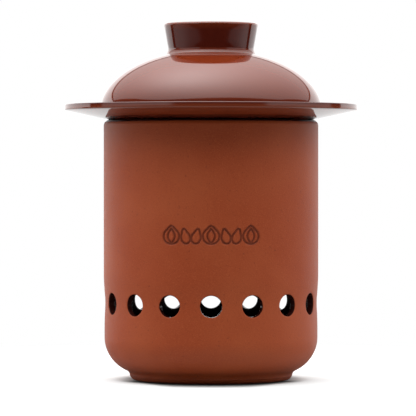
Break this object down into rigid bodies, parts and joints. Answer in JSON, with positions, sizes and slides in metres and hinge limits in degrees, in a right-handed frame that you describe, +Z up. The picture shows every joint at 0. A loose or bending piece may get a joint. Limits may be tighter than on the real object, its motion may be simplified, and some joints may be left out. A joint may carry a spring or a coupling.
{
  "type": "garlic keeper",
  "caption": "Vented earthenware jar on a foot ring, closed by a loose glazed lid with a hollow dome, a wide upturned brim and a flared knob, for keeping garlic dry.",
  "frame": {"origin": "centre of the foot ring's lower face, on the surface that the jar stands on", "axes": "+Z up along the jar's axis, -Y towards the front, with one vent facing -Y"},
  "size_m": [0.1422, 0.142, 0.1726],
  "materials": {
    "terracotta": "unglazed, matt outside, dark glaze inside",
    "brown_glaze": "glossy red-brown glaze"
  },
  "bodies": {
    "jar": {"jar": "terracotta"},
    "lid": {"lid": "brown_glaze"}
  },
  "joints": [
    {"name": "lid_lift", "type": "slide", "parent": "jar", "child": "lid", "axis": [0, 0, 1], "range_m": [0, 0.12]}
  ]
}
